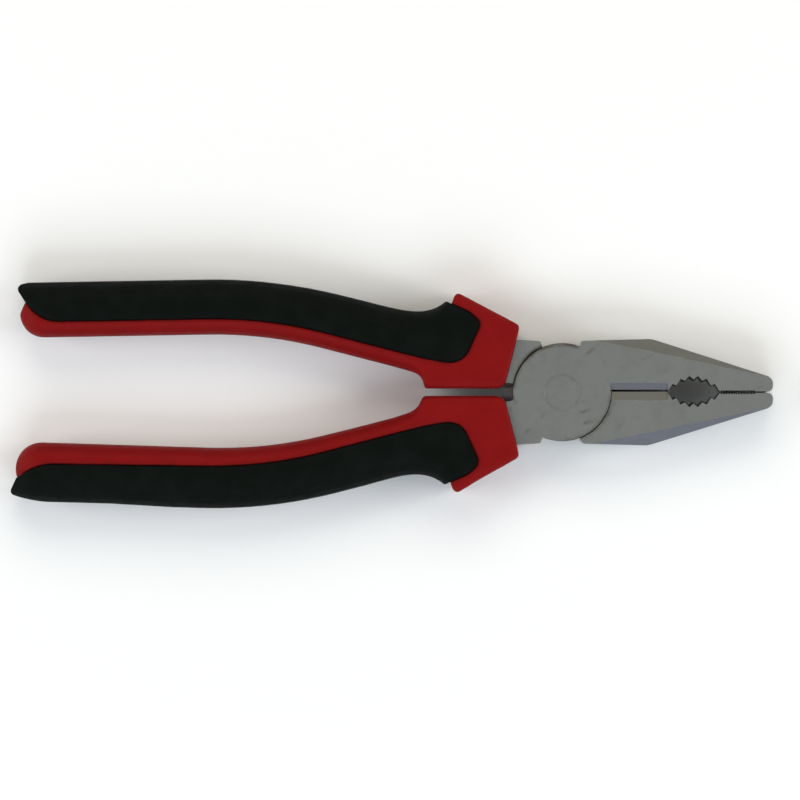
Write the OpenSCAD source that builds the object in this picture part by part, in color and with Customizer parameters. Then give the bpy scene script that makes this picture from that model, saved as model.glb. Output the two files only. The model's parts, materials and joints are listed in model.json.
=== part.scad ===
// Combination pliers with two-colour moulded grips, closed and lying flat.
// X runs towards the jaw tips, Y across the tool and Z up through its thickness.
// The two forged halves have one shape: the front half is the back half turned over about X.

/* [Overall] */
// Length from the jaw tips to the grip ends
overall_len = 200; // [190:1:215]

/* [Head] */
// Thickness of the forged head
head_t = 10.6; // [9.6:0.1:12]
// Radius of the round cheeks at the joint
hub_r = 12.9; // [12.2:0.1:13]
// Bevel round the free edge of a cheek
hub_bevel = 0.25; // [0.1:0.05:0.5]
// Pivot to the jaw tips
jaw_reach = 55.3; // [53:0.1:60]
// Centre line to the outer edge of a jaw at its heel
heel_half_w = 13.5; // [13.3:0.1:13.8]
// Radius of the upper jaw's heel
upper_heel_r = 0.5; // [0.3:0.1:1]
// Radius of the lower jaw's heel
lower_heel_r = 1.3; // [0.3:0.1:1.6]
// Centre line to the outer edge of a jaw at its shoulder
shoulder_half_w = 14; // [13.9:0.1:15]
// Pivot to the shoulder where the upper jaw starts to taper
shoulder_x = 23.5; // [22:0.1:26]
// Length by which the lower jaw starts to taper sooner
lower_sooner = 0.9; // [0:0.1:1.5]
// Width of one jaw at its nose
nose_w = 3.8; // [3.6:0.1:5]
// Radius of the outer corner at a nose
nose_r = 2.2; // [1:0.1:2.2]
// Radius of the inner corner at a nose
nose_inner_r = 1.5; // [0.5:0.1:1.5]
// Gap between the closed jaws
jaw_gap = 0.3; // [0.2:0.05:0.5]
// Width of the ground facet at a jaw's shoulder
facet_w = 3.2; // [2.2:0.1:3.8]
// Slope of the ground facets below the face
facet_angle = 40; // [32:1:48]

/* [Joint] */
// Diameter of the rivet's shank
rivet_d = 6.4; // [5.6:0.1:7.2]
// Diameter of the rivet's countersunk heads
rivet_head_d = 9.2; // [8.4:0.1:10]
// Depth of the countersinks
rivet_head_h = 2; // [1.4:0.1:2.6]
// Radial running clearance round the rivet
run_clear = 0.04; // [0.02:0.01:0.08]
// Gap between the two cheeks
lap_gap = 0.06; // [0.04:0.01:0.12]
// Gap round each cheek
hub_gap = 0.35; // [0.25:0.05:0.4]
// Angle of the notch between a jaw's heel and the neck that stops it
notch_angle = 47; // [46:1:50]
// Angle by which a jaw's heel reaches into its notch
heel_lead = 2.6; // [0:0.1:3]

/* [Cutter] */
// Width of the bevels beside the cutting edges, on average
cutter_bevel = 2; // [1.6:0.1:2.1]
// Depth of that bevel below the face
cutter_drop = 1.2; // [0.8:0.1:1.6]
// Jaw line to the line where the cutting edges meet, towards the upper jaw
cutter_shift = 0.4; // [0:0.1:0.6]
// Hollow of a blade between its bevel and its edge
cutter_hollow = 0.12; // [0.05:0.01:0.2]

/* [Pipe grip] */
// Pivot to the middle of the toothed opening
pipe_x = 34.45; // [33:0.05:36]
// Length of the toothed opening
pipe_len = 13.7; // [12:0.1:14.5]
// Jaw line to the crest of the middle tooth
pipe_h = 3.2; // [2.6:0.05:3.4]
// Depth of the notches between the teeth
tooth_depth = 1; // [0.7:0.1:1.2]
// Extra height of the first and last tooth of each row
end_tooth = 0.15; // [0:0.05:0.2]
// Notches in each jaw
notches = 6; // [4:2:8]

/* [Nose teeth] */
// Pitch of the fine teeth on the jaw faces
fine_pitch = 0.65; // [0.6:0.05:1]
// Depth of the fine teeth
fine_depth = 0.3; // [0.2:0.05:0.4]
// Plain length left at the nose
nose_plain = 4.2; // [3:0.1:6]

/* [Handle line] */
// Pivot to the root of a handle line, along the tool
root_x = 12.5; // [12.2:0.1:13]
// Pivot to the root of a handle line, across the tool
root_y = 6; // [5.6:0.1:6.4]
// Angle at which a handle leaves the head
lift = 14.5; // [13:0.5:16]
// Root to the corner of the bend
bend_at = 66.7; // [58:0.1:72]
// Angle of the bend
bend = 15.5; // [13:0.5:17]
// Radius of the bend
bend_r = 120; // [80:5:150]

/* [Tang] */
// Centre line of the tool to the inner edge of a neck
neck_in = 2.4; // [2:0.1:2.6]
// Centre line of the tool to the outer edge of a neck at its notch
neck_out = 13.4; // [13.3:0.1:13.6]
// Rise of that edge towards the collar
neck_flare = 0.4; // [0:0.1:0.6]
// Radius of the crook between a cheek and its neck
crook_r = 1; // [0.6:0.1:1.2]
// Thickness of a tang inside its grip
tang_t = 6.5; // [5.5:0.1:7.5]
// Width of a tang along its grip
tang_w = 7.4; // [6.5:0.1:7.8]
// Width of a tang at its end
tang_end_w = 6; // [5:0.1:7]
// Length of the taper behind a neck
tang_taper = 24; // [18:1:30]
// Length of grip beyond the end of a tang
tang_short = 14; // [10:0.5:20]
// Clearance of a tang in its pocket
tang_clear = 0.1; // [0.06:0.02:0.2]

/* [Sleeve] */
// Handle root to the front face of a collar
collar_front = 1.5; // [1:0.1:2]
// Length of a collar along the handle
collar_len = 19; // [17:0.5:21]
// Gap between the two collars
collar_gap = 1.95; // [1.6:0.05:3]
// Thickness of a collar
collar_t = 14.5; // [13.4:0.1:15.2]
// Edge radius of a collar
collar_edge = 1.8; // [1:0.1:2.4]
// Handle line to the peak of the finger guard
guard_peak = 16; // [14.5:0.1:17]
// Handle line to the outer corner of a collar's front
guard_front = 11.5; // [11:0.1:12.2]
// Width of a grip along the handle
grip_w = 14.5; // [13.8:0.1:15.5]
// Width of the red strip on the inner side
strip_w = 4.1; // [3:0.1:5]
// Thickness of a sleeve at its strip
strip_t = 14.6; // [13.4:0.1:15.2]
// Thickness of a sleeve's core under the pad
core_t = 10.4; // [9.8:0.1:11]
// Length by which the lower grip reaches further back than the upper
lower_extra = 1.6; // [0:0.1:2.5]
// Length by which the lower collar is longer than the upper
lower_collar = 0.5; // [0:0.1:1]
// Height by which the lower finger guard is higher than the upper
lower_guard = 0.4; // [0:0.1:0.6]
// Length in which the step behind a collar falls away
crook_len = 1.1; // [0.9:0.1:1.6]
// Rounding at the start of that step
crook_round = 0.5; // [0.3:0.1:0.8]
// Length by which the lower grip's tail tip lies further in than the upper's
lower_tip_in = 1.2; // [0:0.1:1.5]
// Width that the lower strip gains towards its tail
lower_strip_gain = 1.2; // [0:0.1:1.5]

/* [Pad] */
// Thickness over the pads
grip_t = 16; // [15.4:0.1:17.5]
// Thickness of a pad on the outer side
pad_wall = 2.2; // [1.8:0.1:2.4]
// Handle root to the nose of a pad
pad_nose = 11.6; // [10:0.1:13]
// Length by which the lower pad's nose lies further back
lower_nose = 0.55; // [0:0.05:0.8]
// Rise of a pad behind the finger guard
flare_h = 5.6; // [4.5:0.1:5.8]
// Length over which that rise fades
flare_len = 3.9; // [3:0.1:5]
// Swell of the upper pad on its outer side
upper_belly = 0.3; // [0:0.05:0.6]
// Handle root to where that swell starts to fade
upper_belly_s = 40; // [30:1:60]
// Swell of the lower pad on its outer side
lower_belly = 0.85; // [0:0.05:1.2]
// Handle root to where that swell starts to fade
lower_belly_s = 86; // [60:1:90]
// Radius of the tail tip of a pad
tip_r = 1.4; // [1:0.1:1.8]
// Glue line between a pad and its sleeve
bond = 0.05; // [0.03:0.01:0.1]

/* [Hidden] */
$fa = 6;
$fs = 0.4;
half_t = head_t / 2;
half_w = grip_w / 2;
core_h = core_t / 2;
core_out = half_w - pad_wall;
strip_edge = strip_w - half_w;
notch_a = 90 - notch_angle / 2;
heel_a = notch_a + heel_lead;
// Start and end of the bend along the handle line
bend_s0 = bend_at - bend_r * tan(bend / 2);
bend_s1 = bend_s0 + bend_r * bend * PI / 180;
head0 = 180 - lift;
tail_turn = bend - lift;
// Handle length of the upper grip, with the lower grip's tail tip at the overall length
tail_x = jaw_reach - overall_len + lower_extra;
tail_s = bend_s1 + (line(bend_s1).x - tail_x - 5 * sin(tail_turn)) / cos(tail_turn);
tang_end = tail_s - tang_short;
// Extra length of the grip that is being drawn and of its collar, extra height of its guard, how far
// back its pad's nose and how far in its tail tip lies, and what its strip gains
$extra = 0;
$collar = 0;
$guard = 0;
$nose = 0;
$tip_in = 0;
$gain = 0;
// Swell of the pad that is being drawn, and where along the handle it starts to fade
$belly = upper_belly;
$belly_s = upper_belly_s;
// Heel radius of the jaw that is being drawn, its shoulder, and how far its cutting edge lies behind
// the jaw line
$heel_r = upper_heel_r;
$shoulder = shoulder_x;
$cut = cutter_shift;

// Heading of the handle line at distance s from its root, and the point there
function heading(s) = head0 + (s < bend_s0 ? 0 : min(s - bend_s0, bend_s1 - bend_s0) / bend_r * 180 / PI);
function dir(a) = [cos(a), sin(a)];
function line(s) =
    let (root = [-root_x, root_y])
    s <= bend_s0 ? root + s * dir(head0) :
    let (start = root + bend_s0 * dir(head0), h = heading(s))
    let (turned = start + bend_r * [sin(h) - sin(head0), cos(head0) - cos(h)])
    turned + max(0, s - bend_s1) * dir(h);
// Point beside the handle line, n outwards
function at(s, n) = line(s) + n * dir(heading(s) - 90);

// Outline of corners [x, y, radius], each rounded to its radius
function unit(v) = v / norm(v);
function turn(a) = ((a % 360) + 540) % 360 - 180;
function corner(a, b, c, r) =
    let (u = unit(a - b), v = unit(c - b), f = acos(u * v) / 2)
    let (mid = b + unit(u + v) * r / sin(f))
    let (p = b + u * r / tan(f) - mid, q = b + v * r / tan(f) - mid)
    let (a0 = atan2(p.y, p.x), sweep = turn(atan2(q.y, q.x) - a0))
    let (steps = max(2, ceil(abs(sweep) * sqrt(r) / 18)))
    [for (i = [0:steps]) mid + r * dir(a0 + sweep * i / steps)];
function xy(p) = [p.x, p.y];
function rounded(c) = [for (i = [0:len(c) - 1])
    let (m = len(c), b = c[i])
    each b.z == 0 ? [xy(b)] : corner(xy(c[(i + m - 1) % m]), xy(b), xy(c[(i + 1) % m]), b.z)];
// The same outline laid along the handle line, with long edges split so that they follow the bend
function along(c) = let (p = rounded(c), m = len(p)) [for (i = [0:m - 1])
    let (a = p[i], b = p[(i + 1) % m], k = max(1, ceil(abs(b.x - a.x) / 5)))
    for (j = [0:k - 1]) let (q = a + (b - a) * j / k) at(q.x, q.y)];

// Fade from 0 to 1, a length that counts from zero but starts softly within w of it, and the drop of a
// rounded edge of radius r at distance d from it
function fade(t) = let (u = min(1, max(0, t))) u * u * (3 - 2 * u);
function soft(t, w) = t < -w ? 0 : t < w ? (t + w) * (t + w) / (4 * w) : t;
function drop(d, r) = d >= r ? 0 : r - sqrt(max(0, r * r - (r - d) * (r - d)));

// Distance from the handle line to the line y, where the handle is still straight
function across(y, s) = (y - root_y - s * sin(lift)) / cos(lift);

// Back of the collar of the grip that is being drawn
function guard_s() = collar_front + collar_len + $collar;

// Tail of a grip, and where its sleeve starts to round off there
function tail() = tail_s + $extra;
function tail_r() = (half_w + $gain + core_out) / 2;
function turn_s() = tail() - 0.5 - 0.35 * $tip_in - tail_r();

// Edges and half thickness of a sleeve
function tail_u(s) = max(0, s - turn_s());
function tail_half(s) = sqrt(max(0, tail_r() * tail_r() - tail_u(s) * tail_u(s)));
function sleeve_in(s) = s > turn_s() ? core_out - tail_r() - tail_half(s) :
    let (d = soft(s - guard_s() - 1.2, crook_round + 0.4 * $collar))
    let (f = 1 - exp(-d / (crook_len + $collar)))
    let (g = max(0, (s - 2 * guard_s()) / (turn_s() - 2 * guard_s())))
    across(collar_gap / 2, s) * (1 - f) - (half_w + $gain * g) * f + drop(s - collar_front, 1.9);
function tail_fall(s) = 1 - 0.8 * max(0, 1 - $tip_in) * pow(tail_u(s) / tail_r(), 4);
function sleeve_out(s) =
    s > turn_s() ? core_out - tail_r() + tail_half(s) * tail_fall(s) :
    s > guard_s() - 0.1 ? core_out :
    let (back = guard_s() - s)
    guard_peak - (back - $collar) * (guard_peak - guard_front) / collar_len
    - drop(s - collar_front, 1) - drop(back - 0.3, 1.5 + 1.5 * $guard)
    + $guard * (fade(1 - back / 8) - 1.2 * back / collar_len);
function sleeve_h(s) =
    let (f = fade((s - guard_s()) / 6), u = tail_u(s) / tail_r())
    (collar_t * (1 - f) + strip_t * f) / 2 * sqrt(1 - 0.85 * u * u) - drop(s - collar_front, 0.8);

// Edge and half thickness of a pad
function pad_out(s) = s < guard_s() + 1.3 ? guard_peak + 1 :
    let (u = max(0, s - tail() + 11) / 11)
    half_w + flare_h * exp(-(s - guard_s() - 1.3) / flare_len) - 1.5 * $tip_in * u * u
    + $belly * (0.5 + 0.5 * fade((s - 30) / 14)) * (1 - fade((s - $belly_s) / 28));
function pad_h(s) =
    let (u = min(1, max(0, s - tail() + 9) / 9))
    (grip_t - 0.5 * (1 - fade((s - guard_s()) / 12))) / 2 * sqrt(1 - 0.55 * u * u);

// Section from edge a to edge b with elliptical corners [across, up], as seen along the handle
function section(a, b, h, ra, rb) = [for (q = [0:3], i = [0:5])
    let (t = 90 * (q + i / 5), r = q == 0 || q == 3 ? rb : ra)
    [(q == 0 || q == 3 ? b - r.x : a + r.x) + r.x * cos(t),
    (q < 2 ? h - r.y : r.y - h) + r.y * sin(t)]];
function sleeve_section(s) =
    let (a = sleeve_in(s), b = sleeve_out(s), h = sleeve_h(s), w = b - a)
    let (f = fade((s - guard_s() - 1) / 8), r = collar_edge * (1 - f) + 4 * f)
    let (k = s > guard_s() - 0.1 ? 0.2 : collar_edge)
    let (up = min(h * 0.8, collar_edge * (1 - f) + 5.5 * f))
    section(a, b, h, [min(r, w * 0.45), up], [min(k, w * 0.45), k]);
function pad_section(s) =
    let (b = pad_out(s), h = pad_h(s), f = fade((s - guard_s()) / 14))
    section(-half_w, b, h, [6, h * 0.7], [4.5 + 2.5 * f, h * (0.75 + 0.15 * f)]);

// Stations along a grip: closer together where its outline turns
function steps(a, b, k) = [for (i = [0:k - 1]) a + (b - a) * i / k];
function sleeve_stations() = concat(
    [for (d = [0, 0.12, 0.4, 0.9]) collar_front + d],
    steps(collar_front + 1.9, guard_s() - 1.9, 7),
    [for (d = [1.8, 1.35, 0.9, 0.55, 0.3]) guard_s() - d],
    steps(guard_s(), guard_s() + 5.6, 12),
    steps(guard_s() + 5.6, bend_s0, 5),
    steps(bend_s0, bend_s1, 9),
    steps(bend_s1, turn_s(), 5),
    [for (a = [0:9:81]) turn_s() + tail_r() * sin(a)]);
function pad_stations() = concat(
    steps(pad_nose - 2, guard_s() + 1.29, 3),
    steps(guard_s() + 1.3, guard_s() + 14, 11),
    steps(guard_s() + 14, bend_s0, 4),
    steps(bend_s0, bend_s1, 9),
    steps(bend_s1, tail() - 9, 5),
    steps(tail() - 9, tail() + 0.4, 7),
    [tail() + 0.4]);

// Skin over the sections at the given stations
module skin(stations, rings) {
    m = len(rings[0]);
    last = len(stations) - 1;
    points = [for (i = [0:last]) for (q = rings[i]) let (p = at(stations[i], q.x)) [p.x, p.y, q.y]];
    faces = concat(
        [[for (j = [m - 1:-1:0]) j]],
        [[for (j = [0:m - 1]) last * m + j]],
        [for (i = [0:last - 1]) for (j = [0:m - 1])
            let (a = i * m + j, b = i * m + (j + 1) % m)
            each [[a, b, b + m], [a, b + m, a + m]]]);
    polyhedron(points, faces);
}

// Block swept along the handle line through slices [s, inner edge, outer edge]
module swept(slices, h) {
    for (i = [0:len(slices) - 2]) {
        a = slices[i];
        b = slices[i + 1];
        linear_extrude(2 * h, center = true)
            hull()
            polygon([at(a[0], a[1]), at(a[0], a[2]), at(b[0], b[2]), at(b[0], b[1])]);
    }
}

// Edges of a tang at distance s
tang_stations = concat(
    [collar_front - 1.5],
    steps(collar_front + tang_taper, bend_s0, 2),
    steps(bend_s0, bend_s1, 8),
    steps(bend_s1, tang_end - 2, 2),
    [tang_end - 2, tang_end]);
function tang_f(s) = min(1, max(0, s - collar_front) / tang_taper);
function tang_half(s) = s >= tang_end ? tang_end_w / 2 - 1.5 :
    (tang_w + (tang_end_w - tang_w) * max(0, s - bend_s1) / (tang_end - bend_s1)) / 2;
function tang_out(s) = (across(neck_out, collar_front) - 0.4) * (1 - tang_f(s)) + tang_half(s) * tang_f(s);
function tang_in(s) = (across(neck_in, collar_front) + 0.3) * (1 - tang_f(s)) - tang_half(s) * tang_f(s);

// Outline of a pad, along the handle line
function pad_corners() = [
    [pad_nose + 2.2 + 0.7 * $nose, strip_edge + 0.8, 5.5],
    [pad_nose + $nose, guard_front - 2 + 0.4 * $belly, 2.2],
    [pad_nose + 3.6, guard_front - 0.2 + 0.4 * $belly, 4],
    [guard_s() + 1.3, half_w + flare_h - 0.1 + 0.5 * $belly, 0.3],
    [guard_s() + 1.3, guard_peak + 6, 0],
    [tail() - 8, guard_peak + 6, 0],
    [tail() - 6, half_w + 0.8, 4],
    [tail() + 0.6 * tip_r, half_w - 0.8 - $tip_in, tip_r],
    [tail() - 2 + 0.6 * $tip_in, 2.1 - 1.05 * $tip_in, 0.2 * $tip_in],
    [tail() - 6.9 - 0.7 * $tip_in, strip_edge + 0.3 * $tip_in, 10 + 3 * $tip_in],
    [guard_s() + 3, strip_edge, 12]];

// Plan of a jaw above the centre line
function jaw_corners() = [
    [0.85 * hub_r * cos(heel_a), 0.85 * hub_r * sin(heel_a), 0],
    [heel_half_w / tan(heel_a), heel_half_w, $heel_r],
    [$shoulder, shoulder_half_w, 6],
    [jaw_reach, nose_w, nose_r],
    [jaw_reach, jaw_gap / 2, nose_inner_r],
    [0.6 * hub_r, jaw_gap / 2, 0]];

// Half opening with V notches on a flat curve, drawn above the jaw line
module pipe_opening() {
    half = pipe_len / 2;
    teeth = [for (k = [1 - notches:notches - 1])
        let (u = k / notches * (abs(k) == notches - 1 ? 0.97 : 1))
        let (crest = (pipe_h + 0.45 * $cut) * (1 - u * u) - (abs(k) == notches - 2 ? end_tooth : 0))
        [u * half, crest + (abs(k) % 2) * tooth_depth]];
    end = jaw_gap / 2;
    translate([pipe_x, 0])
        polygon(concat([[-half, -1], [-half, end]], teeth, [[half, end], [half, -1]]));
}

// Row of fine V grooves along the jaw line, in front of the toothed opening
module fine_teeth() {
    start = pipe_x + pipe_len / 2 + 0.2;
    count = floor((jaw_reach - nose_plain - start) / fine_pitch);
    row = [for (i = [0:count - 1])
        each [[start + i * fine_pitch, jaw_gap / 2],
            [start + (i + 0.5) * fine_pitch, jaw_gap / 2 + fine_depth]]];
    stop = start + count * fine_pitch;
    polygon(concat([[start, -1]], row, [[stop, jaw_gap / 2], [stop, -1]]));
}

// Cut that leaves a sloping facet outside the line from a to b on the upper face
module facet(a, b) {
    translate([a.x, a.y, half_t])
        rotate([0, 0, atan2(b.y - a.y, b.x - a.x)])
        rotate([-facet_angle, 0, 0])
        translate([-90, 0, 0])
        cube([180, 40, 40]);
}

// Jaw above the centre line, with its cutter, toothed opening and ground edges
module jaw() {
    peak = [$shoulder - 0.4, shoulder_half_w - facet_w];
    slope = (shoulder_half_w - nose_w) / (jaw_reach - $shoulder);
    tip = [jaw_reach - 2, nose_w + 2 * slope - 0.2];
    heel = [heel_half_w / tan(notch_a) + 2, heel_half_w + 0.1];
    edge = jaw_gap / 2 + $cut;
    blade_end = pipe_x - pipe_len / 2;
    foot = edge + cutter_hollow;
    bevel = [[foot + cutter_bevel - 0.6 * $cut, half_t], [foot, half_t - cutter_drop]];
    wide = bevel[0].x + 1;
    difference() {
        linear_extrude(head_t, center = true) {
            polygon(rounded(jaw_corners()));
            translate([0.6 * hub_r, edge])
                square([blade_end - 0.6 * hub_r, 1]);
        }
        linear_extrude(head_t + 2, center = true) {
            pipe_opening();
            fine_teeth();
        }
        translate([hub_r - 0.5, 0, 0])
            rotate([90, 0, 90])
            linear_extrude(blade_end - hub_r + 0.6)
            polygon(concat(
                [[-3, -half_t - 1], [wide, -half_t - 1], [wide, -half_t]],
                [for (q = bevel) [q.x, -q.y]],
                [[edge, 0]],
                [for (i = [len(bevel) - 1:-1:0]) bevel[i]],
                [[wide, half_t], [wide, half_t + 1], [-3, half_t + 1]]));
        for (m = [0, 1])
            mirror([0, 0, m]) {
                facet(peak, tip);
                facet(heel, peak);
            }
    }
}

// Neck between a cheek and the grip, as thick as the head
module neck() {
    seat = collar_front - tang_clear;
    linear_extrude(head_t, center = true)
        polygon(rounded([
            [-0.85 * hub_r * cos(notch_a), 0.85 * hub_r * sin(notch_a), 0],
            [-neck_out / tan(notch_a), neck_out, 0.4],
            [at(seat, across(neck_out + neck_flare, seat)).x, neck_out + neck_flare, 0],
            [at(seat, across(neck_in, seat)).x, neck_in, 0],
            [-0.7 * hub_r, neck_in, 0]]));
}

// Fillet in the crook between a cheek and the inner edge of its neck
module crook() {
    reach = hub_r + crook_r;
    c = [-sqrt(reach * reach - (neck_in - crook_r) * (neck_in - crook_r)), neck_in - crook_r];
    touch = c * hub_r / reach;
    translate([0, 0, hub_bevel - half_t])
        difference() {
            linear_extrude(half_t - hub_bevel - lap_gap / 2)
                polygon([[c.x, neck_in], [c.x, neck_in + 0.5], [-0.9 * hub_r, neck_in + 0.5],
                    0.95 * touch, touch]);
            translate([c.x, c.y, -1])
                cylinder(r = crook_r, h = head_t);
        }
}

// Tang inside the grip
module tang() {
    m = len(tang_stations) - 1;
    linear_extrude(tang_t, center = true)
        polygon(concat(
            [for (s = tang_stations) at(s, tang_out(s))],
            [for (i = [m:-1:0]) at(tang_stations[i], tang_in(tang_stations[i]))]));
}

// Forged half with the lower jaw, the back cheek and the upper tang
module half() {
    difference() {
        union() {
            difference() {
                union() {
                    mirror([0, 1, 0]) jaw();
                    neck();
                }
                translate([0, 0, -lap_gap / 2])
                    cylinder(r = hub_r + hub_gap, h = head_t);
            }
            translate([0, 0, -half_t])
                cylinder(r1 = hub_r - hub_bevel, r2 = hub_r, h = hub_bevel);
            translate([0, 0, hub_bevel - half_t])
                cylinder(r = hub_r, h = half_t - hub_bevel - lap_gap / 2);
            crook();
            tang();
        }
        cylinder(d = rivet_d + 2 * run_clear, h = 2 * head_t, center = true);
        translate([0, 0, -half_t])
            cylinder(r1 = rivet_head_d / 2 + run_clear, r2 = rivet_d / 2 + run_clear, h = rivet_head_h);
    }
}

// Hard sleeve of the upper grip, with its collar, strip and core
module sleeve() {
    difference() {
        skin(sleeve_stations(), [for (s = sleeve_stations()) sleeve_section(s)]);
        for (m = [0, 1])
            mirror([0, 0, m])
            translate([0, 0, core_h])
            linear_extrude(10)
            polygon(along(pad_corners()));
        swept([for (s = tang_stations)
            [s == tang_end ? s + tang_clear : s, tang_in(s) - tang_clear, tang_out(s) + tang_clear]],
            tang_t / 2 + tang_clear);
    }
}

// Soft pad of the upper grip, wrapped over the outer side of the core
module pad() {
    shelf = guard_s() + bond;
    h = core_h + bond;
    difference() {
        intersection() {
            skin(pad_stations(), [for (s = pad_stations()) pad_section(s)]);
            linear_extrude(2 * grip_t, center = true)
                offset(delta = -bond)
                polygon(along(pad_corners()));
        }
        swept([[pad_nose - 4, -20, 25], [shelf, -20, 25]], h);
        swept(concat(
            [for (s = concat([shelf - 1], steps(guard_s() + 4, bend_s0, 3), steps(bend_s0, bend_s1, 9),
                steps(bend_s1, turn_s(), 3))) [s, -20, core_out + bond]],
            [for (a = [0:9:81])
                let (s = turn_s() + tail_r() * sin(a)) [s + bond, -20, sleeve_out(s) + bond]]), h);
    }
}

// Moves what is drawn about the pivot so that the tool lies on the ground with its middle at the origin
module placed() {
    translate([overall_len / 2 - jaw_reach, 0, grip_t / 2])
        children();
}

module front_half() {
    color("silver") placed() rotate([180, 0, 0]) half();
}

module back_half() {
    $heel_r = lower_heel_r;
    $shoulder = shoulder_x - lower_sooner;
    $cut = -cutter_shift;
    color("silver") placed() half();
}

module pivot_rivet() {
    color("gainsboro") placed() rotate_extrude()
        polygon([[0, -half_t], [rivet_head_d / 2, -half_t], [rivet_d / 2, rivet_head_h - half_t],
            [rivet_d / 2, half_t - rivet_head_h], [rivet_head_d / 2, half_t], [0, half_t]]);
}

module upper_sleeve() {
    color("firebrick") placed() sleeve();
}

module upper_pad() {
    color("dimgray") placed() pad();
}

module lower_sleeve() {
    $extra = lower_extra;
    $collar = lower_collar;
    $guard = lower_guard;
    $nose = lower_nose;
    $tip_in = lower_tip_in;
    $gain = lower_strip_gain;
    $belly = lower_belly;
    $belly_s = lower_belly_s;
    color("firebrick") placed() rotate([180, 0, 0]) sleeve();
}

module lower_pad() {
    $extra = lower_extra;
    $collar = lower_collar;
    $guard = lower_guard;
    $nose = lower_nose;
    $tip_in = lower_tip_in;
    $gain = lower_strip_gain;
    $belly = lower_belly;
    $belly_s = lower_belly_s;
    color("dimgray") placed() rotate([180, 0, 0]) pad();
}

front_half();
back_half();
pivot_rivet();
upper_sleeve();
upper_pad();
lower_sleeve();
lower_pad();
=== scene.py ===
import json
import math

import bmesh
import bpy
from mathutils.bvhtree import BVHTree
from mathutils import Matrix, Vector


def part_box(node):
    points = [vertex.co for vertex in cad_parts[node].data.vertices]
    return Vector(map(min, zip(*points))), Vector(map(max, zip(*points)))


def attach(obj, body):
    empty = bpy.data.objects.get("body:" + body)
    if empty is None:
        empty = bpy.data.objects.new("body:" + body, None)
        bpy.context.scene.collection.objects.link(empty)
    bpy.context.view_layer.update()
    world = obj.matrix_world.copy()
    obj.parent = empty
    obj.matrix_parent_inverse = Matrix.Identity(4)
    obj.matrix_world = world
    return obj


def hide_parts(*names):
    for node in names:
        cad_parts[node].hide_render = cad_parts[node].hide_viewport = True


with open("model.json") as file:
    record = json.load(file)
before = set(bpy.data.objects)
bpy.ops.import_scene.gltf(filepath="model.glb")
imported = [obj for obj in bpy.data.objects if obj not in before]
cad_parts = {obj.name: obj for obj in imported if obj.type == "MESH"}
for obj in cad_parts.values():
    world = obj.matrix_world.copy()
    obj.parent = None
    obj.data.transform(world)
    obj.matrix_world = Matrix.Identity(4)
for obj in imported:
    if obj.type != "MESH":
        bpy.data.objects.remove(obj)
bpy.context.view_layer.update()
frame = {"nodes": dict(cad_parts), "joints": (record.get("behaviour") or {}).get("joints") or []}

# Forged halves: two drop-forged steel levers of one shape, one turned over on the other so that the
# round cheeks lap. The faces and the backs of the jaws are ground, then the whole lever is tumbled and
# plated satin, so that its edges are slightly round and the seams keep brown traces of oil and rust.
mm = 0.001
pivot_x, pivot_y, pivot_z = frame["joints"][0]["pos_m"]
hub_radius = 12.9 * mm
seam_radius = 13.25 * mm
rivet_ring = 4.5 * mm
sleeve_front = pivot_x - 11 * mm
tang_half_thickness = 4 * mm
head_face = 4.95 * mm
lap_height = 0.2 * mm
# Places along the jaws are measured from the pivot
cutter_start, cutter_end = 12 * mm, 27.6 * mm
cutter_half_width = 3 * mm
blade_half_height = 1 * mm
cut_line = 0.4 * mm
pipe_grip_start, pipe_grip_end = 27.4 * mm, 41.2 * mm
pipe_grip_half_width = 4.9 * mm
jaw_line_half_width = 0.7 * mm
jaw_line_end = 53.3 * mm
nose_start = 53.7 * mm
# Scales that draw the sides of a gap together below 1 and apart above it
cutters_met = (1, 0.1, 1)
pipe_grip_draft = 0.83
jaw_line_spread = (1, 1.4, 1)
jaw_line_met = 0.05
jaw_seam_narrowed = (0.982, 0.982, 1)
neck_seam_narrowed = (0.993, 0.993, 1)
edge_round = 0.2 * mm
edge_steps = 3
tooth_round = 0.3
flat_angle = math.radians(0.6)
sharp_angle = math.radians(27)
smooth_angle = math.radians(28)
# Upright part of a face's normal: walls lie below the first, ground slopes up to the second, and the
# cutters' bevels between the last two
wall_tilt = 0.6
slope_tilt = 0.85
flank_tilt = 0.5
bevel_tilt = 0.992
flank_half_width = 1 * mm
smallest_facet = 4 * mm * mm
ground_slot, blade_slot, scale_and_shade_slot = 1, 2, 3
plate_light = (0.492, 0.515, 0.497, 1)
plate_dark = (0.464, 0.48, 0.455, 1)
# Ground jaw backs: one steel in two copies, warm on the upper jaw and cool on the lower. The tints are
# painted reflections of the warm wall light and the cool window light
upper_back_painted_warm = (0.198, 0.203, 0.188, 1), (0.186, 0.191, 0.177, 1)
lower_back_painted_cool = (0.183, 0.188, 0.211, 1), (0.172, 0.177, 0.198, 1)
# Cutter bevels: a lighter, cooler copy on the upper jaw and a darker one on the lower, as painted light
# and shade on bevels that face towards and away from the cool window light
upper_blade_painted_lit = (0.116, 0.118, 0.125, 1), (0.107, 0.109, 0.115, 1)
lower_blade_painted_shade = (0.083, 0.087, 0.084, 1), (0.077, 0.080, 0.078, 1)
plate_rough = 0.385, 0.4
cloud_share, speck_share = 0.65, 0.35
grain_height = 0.6
# Fine lines are drawn out along the tool the more, the smaller this is: 1 leaves an even grain
plate_lines = 0.08
ground_lines = 0.03
# Near-black unground scale for the jaw walls. Its darkness is painted shade for the pipe grip's hole and
# the gap between the jaws
scale_and_shade_light = (0.12, 0.12, 0.114, 1)
scale_and_shade_dark = (0.085, 0.085, 0.08, 1)
scale_rough = 0.5, 0.6
noise_span = 0.3, 0.7
wide_noise_span = 0.25, 0.75
stain_brown = (0.12, 0.08, 0.045, 1)
ring_depth = 0.11
blotch_depth = 0.1
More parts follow.
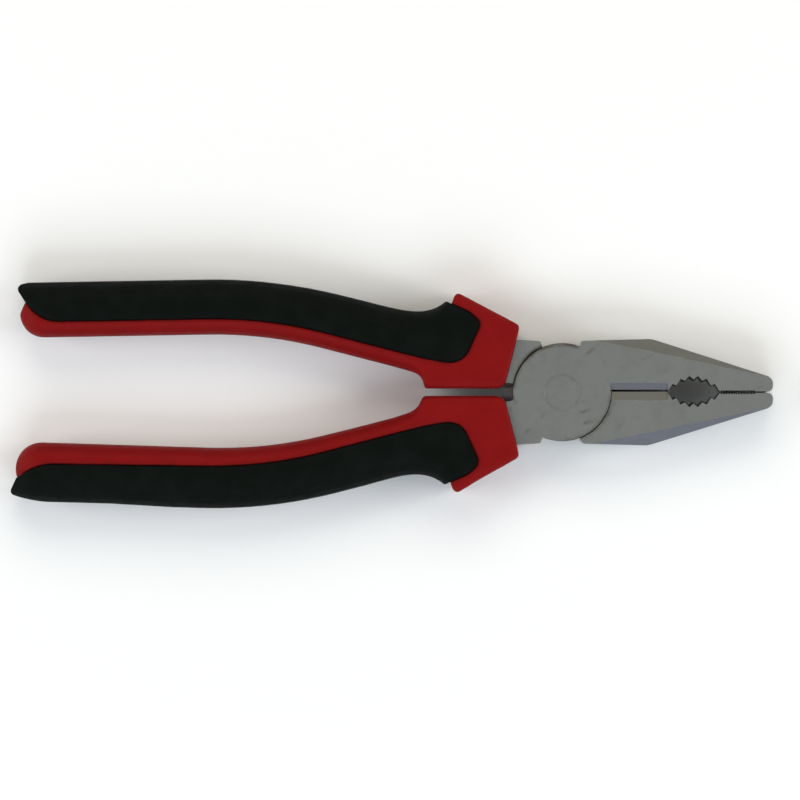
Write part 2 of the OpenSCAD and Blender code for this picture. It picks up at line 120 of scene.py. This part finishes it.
# Brown smudges on the flat faces: place from the pivot, length and width in mm, turn in degrees, depth
smudges = [
    (7.4, 10.8, 2.0, 0.6, 35, 0.5), (5.8, -5.0, 2.1, 0.6, 20, 0.42), (6.8, -7.9, 1.9, 0.65, 15, 0.5),
    (11.8, -6.0, 1.6, 0.6, 30, 0.4), (5.8, -2.4, 1.0, 0.4, 10, 0.2), (-5.0, -6.0, 1.3, 0.6, 45, 0.25),
    (-9.2, -10.2, 1.4, 0.6, 30, 0.22), (-12.1, -2.6, 0.9, 0.5, 60, 0.35), (10.8, 7.9, 0.9, 0.15, 90, 0.45),
    (-14.6, 8.2, 2.6, 1.6, 60, 0.2), (-14.0, -10.0, 4.0, 2.5, 70, 0.12), (22.5, 9.2, 2.2, 0.5, 25, 0.25),
    (26.5, 5.4, 2.4, 0.9, 15, 0.12), (16.4, 6.8, 1.5, 0.35, 20, 0.14), (-9.6, 8.6, 1.7, 0.2, 8, 0.3),
    (34.3, 8.0, 0.4, 0.25, 0, 0.3), (-13.6, -4.6, 1.2, 0.5, 75, 0.25), (-3.0, 11.9, 3.6, 0.3, 2, 0.25),
    (3.4, 11.6, 2.2, 0.35, -14, 0.2), (13.6, -3.4, 0.7, 1.4, 0, 0.2), (15.0, -9.0, 1.6, 0.4, 30, 0.18)]


def copy_of(node, name):
    bpy.ops.object.select_all(action="DESELECT")
    piece = bpy.data.objects.new(name, frame["nodes"][node].data.copy())
    bpy.context.scene.collection.objects.link(piece)
    piece.select_set(True)
    bpy.context.view_layer.objects.active = piece
    piece.data.materials.clear()
    bpy.ops.mesh.customdata_custom_splitnormals_clear()
    bpy.ops.object.mode_set(mode="EDIT")
    bpy.ops.mesh.select_all(action="SELECT")
    bpy.ops.mesh.remove_doubles(threshold=1e-6)
    bpy.ops.object.mode_set(mode="OBJECT")
    return piece


def applied(piece, kind, **settings):
    made = piece.modifiers.new(kind.title(), kind)
    for name, value in settings.items():
        setattr(made, name, value)
    bpy.ops.object.modifier_apply(modifier=made.name)


def along_jaws(spot, start, end, half_width):
    return start < spot.x - pivot_x < end and abs(spot.y) < half_width


def from_pivot(spot):
    return math.hypot(spot.x - pivot_x, spot.y)


def on_cutter(spot):
    return along_jaws(spot, cutter_start, cutter_end, cutter_half_width)


def on_cutting_edge(spot):
    in_line = along_jaws(spot, cutter_start, cutter_end + 0.1 * mm, cutter_half_width)
    return in_line and abs(spot.y - cut_line) < 0.2 * mm and abs(spot.z - pivot_z) < 0.3 * mm


def on_pipe_grip(spot):
    return along_jaws(spot, pipe_grip_start, pipe_grip_end, pipe_grip_half_width)


def on_jaw_line(spot):
    return along_jaws(spot, pipe_grip_end, jaw_line_end + 0.05 * mm, jaw_line_half_width)


def on_seam(spot):
    return abs(from_pivot(spot) - seam_radius) < 0.1 * mm


def on_jaw_seam(spot):
    return on_seam(spot) and spot.x > pivot_x


def on_neck_seam(spot):
    return on_seam(spot) and spot.x < pivot_x


def is_wall(face):
    return abs(face.normal.z) < wall_tilt


def is_ground(face):
    mid = face.calc_center_median()
    on_rim = hub_radius - 0.3 * mm < from_pivot(mid) < hub_radius + 0.1 * mm
    sloped = wall_tilt < abs(face.normal.z) < slope_tilt
    return sloped and (on_rim or face.calc_area() > smallest_facet)


def is_blade(face):
    mid = face.calc_center_median()
    tilt = abs(face.normal.z)
    bevel = flank_tilt <= tilt < bevel_tilt
    flank = tilt < flank_tilt and abs(mid.y) < flank_half_width
    return on_cutter(mid) and (bevel or flank)


# Walls of the pipe grip and the fine teeth, which take the near-black scale as painted shade
def is_unground_shaded_wall(face):
    mid = face.calc_center_median()
    return is_wall(face) and along_jaws(mid, pipe_grip_start, nose_start + 0.2 * mm, pipe_grip_half_width)


def choose(piece, kind, wanted):
    bpy.ops.object.mode_set(mode="EDIT")
    bpy.ops.mesh.select_all(action="DESELECT")
    bpy.ops.mesh.select_mode(type=kind)
    shape = bmesh.from_edit_mesh(piece.data)
    for element in shape.verts if kind == "VERT" else shape.faces:
        element.select = wanted(element)
    shape.select_flush_mode()
    bmesh.update_edit_mesh(piece.data)


def draw_together(piece, wanted, scale, middle=0):
    choose(piece, "VERT", lambda vertex: wanted(vertex.co))
    bpy.ops.transform.resize(value=scale, center_override=(pivot_x, pivot_y + middle, pivot_z))
    bpy.ops.object.mode_set(mode="OBJECT")


def split_walls(piece, wanted, place, direction):
    choose(piece, "FACE", lambda face: is_wall(face) and wanted(face.calc_center_median()))
    bpy.ops.mesh.bisect(plane_co=place, plane_no=direction, threshold=1e-7)
    bpy.ops.object.mode_set(mode="OBJECT")


def draw_in_middle(piece, wanted, scale):
    def at_mid_thickness(spot):
        return wanted(spot) and abs(spot.z - pivot_z) < 0.1 * mm

    split_walls(piece, wanted, (0, 0, pivot_z), (0, 0, 1))
    draw_together(piece, at_mid_thickness, (1, scale, 1))


def assign(piece, slot, wanted):
    choose(piece, "FACE", wanted)
    piece.active_material_index = slot
    bpy.ops.object.material_slot_assign()
    bpy.ops.object.mode_set(mode="OBJECT")


def edge_weight(edge):
    if not edge.is_manifold or edge.calc_face_angle(0) < sharp_angle:
        return 0
    spot = (edge.verts[0].co + edge.verts[1].co) / 2
    reach = from_pivot(spot)
    height = abs(spot.z - pivot_z)
    in_sleeve = spot.x < sleeve_front and height < tang_half_thickness
    in_joint = reach < seam_radius + 0.15 * mm and height < head_face
    at_lap = reach < hub_radius + 1.1 * mm and height < lap_height
    on_cheek = reach < hub_radius and height > head_face
    in_rivet_hole = reach < rivet_ring + 0.5 * mm
    if in_sleeve or in_joint or at_lap or on_cheek or in_rivet_hole:
        return 0
    on_fine_teeth = along_jaws(spot, pipe_grip_end, nose_start, jaw_line_half_width)
    if on_fine_teeth or on_cutter(spot) and height < blade_half_height:
        return 0
    return tooth_round if on_pipe_grip(spot) or on_cutter(spot) else 1


def soften_edges(piece):
    bpy.ops.object.mode_set(mode="EDIT")
    bpy.ops.mesh.select_all(action="SELECT")
    bpy.ops.mesh.dissolve_limited(angle_limit=flat_angle)
    shape = bmesh.from_edit_mesh(piece.data)
    weight = shape.edges.layers.float.new("bevel_weight_edge")
    for edge in shape.edges:
        edge[weight] = edge_weight(edge)
    bmesh.update_edit_mesh(piece.data)
    bpy.ops.object.mode_set(mode="OBJECT")
    applied(piece, "BEVEL", limit_method="WEIGHT", width=edge_round, segments=edge_steps,
            use_clamp_overlap=True, material=ground_slot)
    bpy.ops.object.shade_smooth_by_angle(angle=smooth_angle)
    applied(piece, "WEIGHTED_NORMAL", keep_sharp=True, weight=80)


def new_material(name):
    material = bpy.data.materials.new(name)
    material.use_nodes = True
    return material


def add(material, kind, **settings):
    made = material.node_tree.nodes.new("ShaderNode" + kind)
    for name, value in settings.items():
        setattr(made, name, value)
    return made


def join(material, *pairs):
    for out_socket, in_socket in pairs:
        material.node_tree.links.new(out_socket, in_socket)


def values(made, **sockets):
    for name, value in sockets.items():
        made.inputs[name.replace("_", " ")].default_value = value
    return made


def noise(material, size, detail=3, stretch=(1, 1, 1)):
    where = add(material, "TexCoord")
    mapping = values(add(material, "Mapping"), Scale=stretch)
    made = values(add(material, "TexNoise"), Scale=1 / size, Detail=detail)
    join(material, (where.outputs["Object"], mapping.inputs["Vector"]),
         (mapping.outputs["Vector"], made.inputs["Vector"]))
    return made.outputs["Fac"]


def ranged(material, socket, span, to=(0, 1), curve="SMOOTHSTEP"):
    made = add(material, "MapRange", interpolation_type=curve)
    values(made, From_Min=span[0], From_Max=span[1], To_Min=to[0], To_Max=to[1])
    join(material, (socket, made.inputs["Value"]))
    return made.outputs["Result"]


def math_of(material, operation, first, second=0):
    made = add(material, "Math", operation=operation)
    for place, value in enumerate((first, second)):
        if isinstance(value, (int, float)):
            made.inputs[place].default_value = value
        else:
            join(material, (value, made.inputs[place]))
    return made.outputs["Value"]


def times(material, first, second):
    return math_of(material, "MULTIPLY", first, second)


# A Mix node's colours are its inputs 6 and 7 and its output 2
def mixed(material, factor, first, second):
    made = add(material, "Mix", data_type="RGBA")
    for place, value in ((0, factor), (6, first), (7, second)):
        if isinstance(value, (int, float, tuple)):
            made.inputs[place].default_value = value
        else:
            join(material, (value, made.inputs[place]))
    return made.outputs[2]


def distance_to(material, x, y, length, width, turn):
    where = add(material, "TexCoord")
    mapping = add(material, "Mapping", vector_type="TEXTURE")
    values(mapping, Location=(pivot_x + x * mm, y * mm, 0), Rotation=(0, 0, math.radians(turn)),
           Scale=(length * mm, width * mm, 1000))
    size = add(material, "VectorMath", operation="LENGTH")
    join(material, (where.outputs["Object"], mapping.inputs["Vector"]),
         (mapping.outputs["Vector"], size.inputs[0]))
    return size.outputs["Value"]


def off_circle(steel, radius):
    from_middle = distance_to(steel, x=0, y=0, length=1, width=1, turn=0)
    return math_of(steel, "ABSOLUTE", math_of(steel, "SUBTRACT", from_middle, radius / mm))


def on_flat_face(steel):
    axes = add(steel, "SeparateXYZ")
    join(steel, (add(steel, "TexCoord").outputs["Normal"], axes.inputs[0]))
    return ranged(steel, math_of(steel, "ABSOLUTE", axes.outputs["Z"]), (0.3, 0.8))


def seam_stain_and_rim_shade(steel):
    off_pivot = add(steel, "VectorMath", operation="SUBTRACT")
    off_pivot.inputs[1].default_value = (pivot_x, pivot_y, 0)
    axes = add(steel, "SeparateXYZ")
    join(steel, (add(steel, "TexCoord").outputs["Object"], off_pivot.inputs[0]),
         (off_pivot.outputs["Vector"], axes.inputs[0]))
    x, y = axes.outputs["X"], axes.outputs["Y"]
    quarters = ranged(steel, times(steel, x, y), (-3 * mm * mm, -12 * mm * mm))
    # Along the top of the hub's rim, behind the heel, the same brown is painted shade of the rim's edge
    high = ranged(steel, y, (10.5 * mm, 11.5 * mm))
    behind_heel = ranged(steel, x, (4.6 * mm, 3.6 * mm))
    top_rim = times(steel, high, behind_heel)
    place = math_of(steel, "MAXIMUM", quarters, top_rim)
    depth = ranged(steel, y, (7 * mm, 11 * mm), to=(0.35, 0.85))
    band = ranged(steel, off_circle(steel, hub_radius), (1.2, 0.1))
    broken = ranged(steel, noise(steel, size=1.5 * mm), (0.3, 0.55), to=(0.5, 1))
    return times(steel, times(steel, place, depth), times(steel, band, broken))


def stained(steel, colour):
    flat = on_flat_face(steel)
    colour = mixed(steel, times(steel, seam_stain_and_rim_shade(steel), flat), colour, stain_brown)
    ragged = ranged(steel, noise(steel, size=0.9 * mm), (0.3, 0.65), to=(0.35, 1))
    ragged = times(steel, ragged, flat)
    ring = ranged(steel, off_circle(steel, rivet_ring), (0.9, 0.1), to=(0, ring_depth))
    blotches = ranged(steel, noise(steel, size=3 * mm, detail=5), (0.45, 0.7), to=(0, blotch_depth))
    stain_and_highlight = times(steel, math_of(steel, "ADD", ring, blotches), ragged)
    colour = mixed(steel, stain_and_highlight, colour, stain_brown)
    for x, y, length, width, turn, depth in smudges:
        near = ranged(steel, distance_to(steel, x, y, length, width, turn), (1.3, 0), to=(0, depth))
        colour = mixed(steel, times(steel, near, ragged), colour, stain_brown)
    return colour


def satin_steel(name, light, dark, marked, lined):
    steel = new_material(name)
    shader = values(steel.node_tree.nodes["Principled BSDF"], Metallic=1.0)
    clouds = times(steel, noise(steel, size=9 * mm, detail=2), cloud_share)
    specks = times(steel, noise(steel, size=0.22 * mm, detail=4), speck_share)
    mottle = ranged(steel, math_of(steel, "ADD", clouds, specks), wide_noise_span)
    colour = mixed(steel, mottle, light, dark)
    if marked:
        colour = stained(steel, colour)
    rough = ranged(steel, noise(steel, size=1.2 * mm), noise_span, to=plate_rough)
    grain = times(steel, noise(steel, size=0.25 * mm, detail=2), grain_height)
    lines = noise(steel, size=0.35 * mm, detail=2, stretch=(lined, 1, 1))
    bump = values(add(steel, "Bump"), Strength=0.08, Distance=0.02 * mm)
    join(steel, (colour, shader.inputs["Base Color"]), (rough, shader.inputs["Roughness"]),
         (math_of(steel, "ADD", grain, lines), bump.inputs["Height"]),
         (bump.outputs["Normal"], shader.inputs["Normal"]))
    return steel


# Unground forging scale, made near black to stand as painted shade on the walls of the jaw recesses
def scale_and_painted_shade():
    scale = new_material("scale_and_painted_shade")
    shader = values(scale.node_tree.nodes["Principled BSDF"], Metallic=1.0)
    patches = ranged(scale, noise(scale, size=0.3 * mm, detail=4), wide_noise_span)
    rough = ranged(scale, noise(scale, size=0.3 * mm), noise_span, to=scale_rough)
    join(scale, (mixed(scale, patches, scale_and_shade_light, scale_and_shade_dark), shader.inputs["Base Color"]),
         (rough, shader.inputs["Roughness"]))
    return scale


plated_steel = satin_steel("plated_steel", plate_light, plate_dark, marked=True, lined=plate_lines)
raw_steel_and_painted_shade = scale_and_painted_shade()
for node, body, name, back, blade in (
        ("back_half", "back_lever", "back_forging", lower_back_painted_cool, lower_blade_painted_shade),
        ("front_half", "front_lever", "front_forging", upper_back_painted_warm, upper_blade_painted_lit)):
    forging = copy_of(node, name)
    # Each half's ground steel and blade steel carry painted light: the tint and brightness of the side
    # that half faces
    ground_steel_painted_tint = satin_steel(node + "_ground_steel_painted_tint", *back, marked=True, lined=ground_lines)
    blade_steel_painted_light = satin_steel(node + "_blade_steel_painted_light", *blade, marked=False, lined=ground_lines)
    for steel in (plated_steel, ground_steel_painted_tint, blade_steel_painted_light, raw_steel_and_painted_shade):
        forging.data.materials.append(steel)
    draw_together(forging, on_cutting_edge, cutters_met, cut_line)
    draw_in_middle(forging, on_pipe_grip, pipe_grip_draft)
    split_walls(forging, on_jaw_line, (pivot_x + jaw_line_end, 0, 0), (1, 0, 0))
    draw_together(forging, on_jaw_line, jaw_line_spread)
    draw_in_middle(forging, on_jaw_line, jaw_line_met)
    draw_together(forging, on_jaw_seam, jaw_seam_narrowed)
    draw_together(forging, on_neck_seam, neck_seam_narrowed)
    soften_edges(forging)
    assign(forging, ground_slot, is_ground)
    assign(forging, blade_slot, is_blade)
    assign(forging, scale_and_shade_slot, is_unground_shaded_wall)
    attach(forging, body)
    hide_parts(node)

# Rivet: a turned steel pin, upset into the countersinks on both sides and ground flush with the cheeks.
# A fine chamfer round each head shows as a faint circle.
rivet_low, rivet_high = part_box("pivot_rivet")
rivet_sides = 96
head_radius = (rivet_high.x - rivet_low.x) / 2
shank_radius = 3.2 * mm
countersink = 2 * mm
rim_chamfer = 0.05 * mm
land = 0.25 * mm
even_grain = 1
# Depth below the face and radius, from the face of a head down to the shank
head_profile = [
    (0, head_radius - rim_chamfer), (0.7 * rim_chamfer, head_radius - 0.01 * mm),
    (land, head_radius - 0.22 * mm), (countersink, shank_radius - 0.045 * mm)]
rivet_profile = [(rivet_low.z + depth, radius) for depth, radius in head_profile]
rivet_profile += [(rivet_high.z - depth, radius) for depth, radius in reversed(head_profile)]
bpy.ops.object.select_all(action="DESELECT")
bpy.ops.mesh.primitive_circle_add(vertices=rivet_sides, radius=rivet_profile[0][1], fill_type="NGON",
                                  location=(pivot_x, pivot_y, rivet_profile[0][0]))
rivet = bpy.context.object
rivet.name = "rivet"
bpy.ops.object.transform_apply(location=True, rotation=True, scale=True)
bpy.ops.object.mode_set(mode="EDIT")
bpy.ops.mesh.select_all(action="SELECT")
for (z, radius), (next_z, next_radius) in zip(rivet_profile, rivet_profile[1:]):
    bpy.ops.mesh.extrude_region_move(TRANSFORM_OT_translate={"value": (0, 0, next_z - z)})
    scale = next_radius / radius
    bpy.ops.transform.resize(value=(scale, scale, 1), center_override=(pivot_x, pivot_y, next_z))
bpy.ops.mesh.select_all(action="SELECT")
bpy.ops.mesh.normals_make_consistent(inside=False)
bpy.ops.object.mode_set(mode="OBJECT")
bpy.ops.object.shade_smooth_by_angle(angle=smooth_angle)
rivet.data.materials.append(
    satin_steel("rivet_steel", plate_light, plate_dark, marked=True, lined=even_grain))
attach(rivet, "back_lever")
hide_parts("pivot_rivet")

# Sleeves: hard red plastic, injection moulded over the tangs. Each has a collar with a finger guard at
# the front and a strip along the inner side, and a recess in which the soft pad sits.
sleeve_red = (0.180, 0.0044, 0.0046, 1)
sleeve_red_dark = (0.167, 0.0040, 0.0042, 1)
# Brighter red of a painted highlight on the collars' sloped edges
sleeve_red_highlight = (0.222, 0.0052, 0.0056, 1)
# Dark red of a patchy painted shade next to the pads
sleeve_pad_shade = (0.055, 0.0045, 0.0045, 1)
sleeve_rough = 0.5, 0.6
sleeve_gloss = 0.05
sleeve_voxel = 0.365 * mm
collar_rear = pivot_x - 29 * mm
guard_rear = pivot_x - 33 * mm
mould_line = 0.09 * mm
mould_line_half_width = 0.2 * mm
look_from, look_to = 0.3 * mm, 30 * mm
side_tilt = 0.5
# Painted highlight on the collars: the slope of the normal where it peaks, its spread, its height and
# fall, and how much brighter red it mixes in
highlight_tilt = 0.72
highlight_spread = 0.28
highlight_peak, highlight_fall = 1.6, 2.2
highlight_share = 0.35
# Painted shade beside the pads: how far it reaches and how fast it fades
pad_shade_reach = 1.6 * mm
pad_shade_fall = 1.6


def moulded(node, name, voxel):
    piece = copy_of(node, name)
    applied(piece, "REMESH", mode="VOXEL", voxel_size=voxel, adaptivity=0)
    applied(piece, "SMOOTH", factor=0.5, iterations=3)
    bpy.ops.object.shade_smooth()
    return piece


def press_mould_line(piece, wanted):
    def faces_nothing(vertex):
        start = vertex.co + vertex.normal * look_from
        return not piece.ray_cast(start, vertex.normal, distance=look_to)[0]

    bpy.ops.object.mode_set(mode="EDIT")
    bpy.ops.mesh.select_mode(type="VERT")
    for height in (-mould_line_half_width, mould_line_half_width, 0):
        bpy.ops.mesh.select_all(action="SELECT")
        bpy.ops.mesh.bisect(plane_co=(0, 0, pivot_z + height), plane_no=(0, 0, 1), threshold=1e-7)
    bpy.ops.object.mode_set(mode="OBJECT")
    pressed = [vertex.index for vertex in piece.data.vertices
               if vertex.select and wanted(vertex) and faces_nothing(vertex)]
    bpy.ops.object.mode_set(mode="EDIT")
    bpy.ops.mesh.select_all(action="DESELECT")
    bpy.ops.object.mode_set(mode="OBJECT")
    for index in pressed:
        piece.data.vertices[index].select = True
    bpy.ops.object.mode_set(mode="EDIT")
    bpy.ops.transform.shrink_fatten(value=-mould_line)
    bpy.ops.object.mode_set(mode="OBJECT")


def paint(piece, name, value_of):
    layer = piece.data.attributes.new(name, "FLOAT", "POINT")
    layer.data.foreach_set("value", [value_of(vertex) for vertex in piece.data.vertices])


def painted(material, name):
    return add(material, "Attribute", attribute_type="GEOMETRY", attribute_name=name).outputs["Fac"]


def on_sleeve_side(vertex, outward):
    on_strip = vertex.normal.y * outward < 0.2
    return abs(vertex.normal.z) < side_tilt and (on_strip or vertex.co.x > collar_rear)


# Painted shade on the sleeve next to the pad, fading with the distance from the pad's skin
def shade_near_pad(vertex, pad_skin):
    distance = pad_skin.find_nearest(vertex.co)[3]
    return max(0, 1 - distance / pad_shade_reach) ** pad_shade_fall


# Painted highlight: brighter red on faces that slope like the collars' rounded edges, in front of the
# guard's rear
def highlight_on_slope(vertex):
    if vertex.co.x <= guard_rear:
        return 0
    off_slope = abs(abs(vertex.normal.z) - highlight_tilt)
    return max(0, min(1, highlight_peak - highlight_fall * off_slope / highlight_spread))


def red_plastic():
    plastic = new_material("red_plastic")
    shader = values(plastic.node_tree.nodes["Principled BSDF"], Specular_IOR_Level=sleeve_gloss)
    mottle = ranged(plastic, noise(plastic, size=6 * mm, detail=4), (0.35, 0.7))
    colour = mixed(plastic, mottle, sleeve_red, sleeve_red_dark)
    # A painted highlight on the collars' sloped edges
    stain_and_highlight = times(plastic, painted(plastic, "edge"), highlight_share)
    colour = mixed(plastic, stain_and_highlight, colour, sleeve_red_highlight)
    # Patchy painted shade on the red next to the pad
    patchy = ranged(plastic, noise(plastic, size=3 * mm, detail=4), noise_span, to=(0.35, 0.75))
    pad_shade = times(plastic, painted(plastic, "shade_beside_pad"), patchy)
    colour = mixed(plastic, pad_shade, colour, sleeve_pad_shade)
    rough = ranged(plastic, noise(plastic, size=2 * mm, detail=4), noise_span, to=sleeve_rough)
    bump = values(add(plastic, "Bump"), Strength=0.4, Distance=0.02 * mm)
    join(plastic, (colour, shader.inputs["Base Color"]), (rough, shader.inputs["Roughness"]),
         (noise(plastic, size=0.3 * mm), bump.inputs["Height"]),
         (bump.outputs["Normal"], shader.inputs["Normal"]))
    return plastic


sleeve_plastic = red_plastic()
for node, pad_node, body, name, outward in (
        ("upper_sleeve", "upper_pad", "back_lever", "upper_red_sleeve", 1),
        ("lower_sleeve", "lower_pad", "front_lever", "lower_red_sleeve", -1)):
    sleeve = moulded(node, name, sleeve_voxel)
    press_mould_line(sleeve, lambda vertex: on_sleeve_side(vertex, outward))
    pad_skin = BVHTree.FromObject(frame["nodes"][pad_node], bpy.context.evaluated_depsgraph_get())
    paint(sleeve, "shade_beside_pad", lambda vertex: shade_near_pad(vertex, pad_skin))
    paint(sleeve, "edge", highlight_on_slope)
    sleeve.data.materials.append(sleeve_plastic)
    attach(sleeve, body)
    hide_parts(node)

# Pads: soft black rubber, moulded into the recess of the sleeve in a second shot. They stand a little
# proud of the red strip and end in a rounded tip at the tail.
pad_black = (0.0024, 0.0038, 0.0028, 1)
pad_grey = (0.0034, 0.0050, 0.0040, 1)
pad_rough = 0.6, 0.72
pad_gloss = 0.04
pad_voxel = 0.32 * mm


def on_pad_side(vertex, outward):
    return abs(vertex.normal.z) < side_tilt and vertex.normal.y * outward > -0.3


def black_rubber():
    rubber = new_material("black_rubber")
    shader = values(rubber.node_tree.nodes["Principled BSDF"], Specular_IOR_Level=pad_gloss)
    mottle = ranged(rubber, noise(rubber, size=5 * mm, detail=5), (0.4, 0.7))
    rough = ranged(rubber, noise(rubber, size=2 * mm, detail=4), noise_span, to=pad_rough)
    bump = values(add(rubber, "Bump"), Strength=0.5, Distance=0.03 * mm)
    join(rubber, (mixed(rubber, mottle, pad_black, pad_grey), shader.inputs["Base Color"]),
         (rough, shader.inputs["Roughness"]), (noise(rubber, size=0.4 * mm), bump.inputs["Height"]),
         (bump.outputs["Normal"], shader.inputs["Normal"]))
    return rubber


pad_rubber = black_rubber()
for node, body, name, outward in (("upper_pad", "back_lever", "upper_black_pad", 1),
                                  ("lower_pad", "front_lever", "lower_black_pad", -1)):
    pad = moulded(node, name, pad_voxel)
    press_mould_line(pad, lambda vertex: on_pad_side(vertex, outward))
    pad.data.materials.append(pad_rubber)
    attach(pad, body)
    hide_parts(node)

# Table, light and camera: a plain pale table, soft lights on all four sides, cool below the tool in the
# picture and warm above it, a dim ceiling, and a long lens straight over the tool.
table_size = 6
table_drop = 0.02 * mm
table_white = (0.78, 0.78, 0.78, 1)
room_cool = (0.40, 0.42, 0.465, 1)
room_warm = (0.375, 0.365, 0.325, 1)
cool_to_warm = -0.7, 0.7
ceiling_start = 0.5, 0.88
ceiling_dimmed = 1.0, 0.17
frame_width = 210.25 * mm
frame_middle = 2.1 * mm, -2.05 * mm
focus_height = 10.7 * mm
lens = 300
bpy.ops.object.select_all(action="DESELECT")
bpy.ops.mesh.primitive_plane_add(size=table_size, location=(0, 0, -table_drop))
table = bpy.context.object
table.name = "table"
paper = new_material("pale_table")
values(paper.node_tree.nodes["Principled BSDF"], Base_Color=table_white, Roughness=0.9)
table.data.materials.append(paper)


def soft_light(name, place, size, power, colour):
    bpy.ops.object.light_add(type="AREA", location=place)
    light = bpy.context.object
    light.name = name
    light.data.shape = "RECTANGLE"
    light.data.size, light.data.size_y = size
    light.data.energy = power
    light.data.color = colour
    light.rotation_mode = "QUATERNION"
    light.rotation_quaternion = (-light.location).to_track_quat("-Z", "Y")


soft_light("window", place=(0, -1.05, 1), size=(1.3, 0.8), power=12.4, colour=(0.86, 0.94, 1))
soft_light("wall", place=(0, 1.05, 1), size=(1.3, 0.8), power=10, colour=(1, 0.95, 0.83))
soft_light("left", place=(-1.25, 0, 0.7), size=(0.8, 0.8), power=10.8, colour=(1, 1, 1))
soft_light("right", place=(1.25, 0, 0.7), size=(0.8, 0.8), power=10.8, colour=(1, 1, 1))
room = bpy.data.worlds.new("room")
room.use_nodes = True
backdrop = room.node_tree.nodes["Background"]
room_axes = add(room, "SeparateXYZ")
warmth = ranged(room, room_axes.outputs["Y"], cool_to_warm, curve="LINEAR")
brightness = ranged(room, room_axes.outputs["Z"], ceiling_start, to=ceiling_dimmed)
join(room, (add(room, "TexCoord").outputs["Generated"], room_axes.inputs[0]),
     (mixed(room, warmth, room_cool, room_warm), backdrop.inputs["Color"]),
     (brightness, backdrop.inputs["Strength"]))
bpy.context.scene.world = room
bpy.context.scene.view_settings.view_transform = "Standard"

camera_data = bpy.data.cameras.new("camera")
camera_data.lens = lens
camera = bpy.data.objects.new("camera", camera_data)
bpy.context.scene.collection.objects.link(camera)
camera.location = (*frame_middle, focus_height + frame_width * lens / camera_data.sensor_width)
bpy.context.scene.camera = camera
